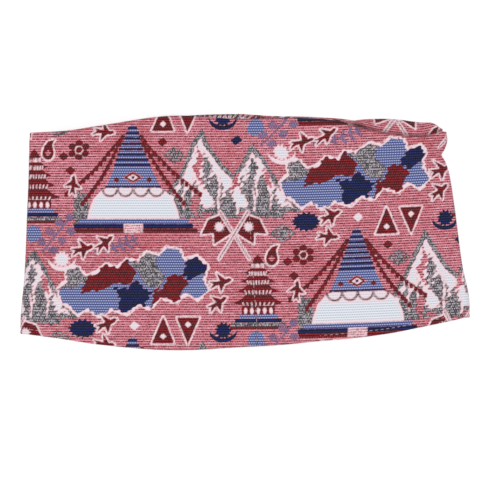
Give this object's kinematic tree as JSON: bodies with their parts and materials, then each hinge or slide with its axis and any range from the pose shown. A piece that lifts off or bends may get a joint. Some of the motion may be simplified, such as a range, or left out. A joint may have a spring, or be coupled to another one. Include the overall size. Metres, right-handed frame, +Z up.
{
  "type": "dhaka topi cap",
  "caption": "Brimless soft cap of figured cloth with a tall band and a tucked oval crown, folded flat and lying on its back panel.",
  "frame": {"origin": "on the table, under the middle of the flat cap's bounding box", "axes": "+X runs along the rim towards the fold with the dent, +Y from the rim to the crown, +Z up off the table through the back panel and then the front panel"},
  "size_m": [0.285, 0.1492, 0.0192],
  "materials": {
    "figured_cloth": "matte woven cotton, rose ground with dark, blue, grey and white figures"
  },
  "bodies": {
    "root": {"band": "figured_cloth", "crown": "figured_cloth"}
  },
  "joints": []
}
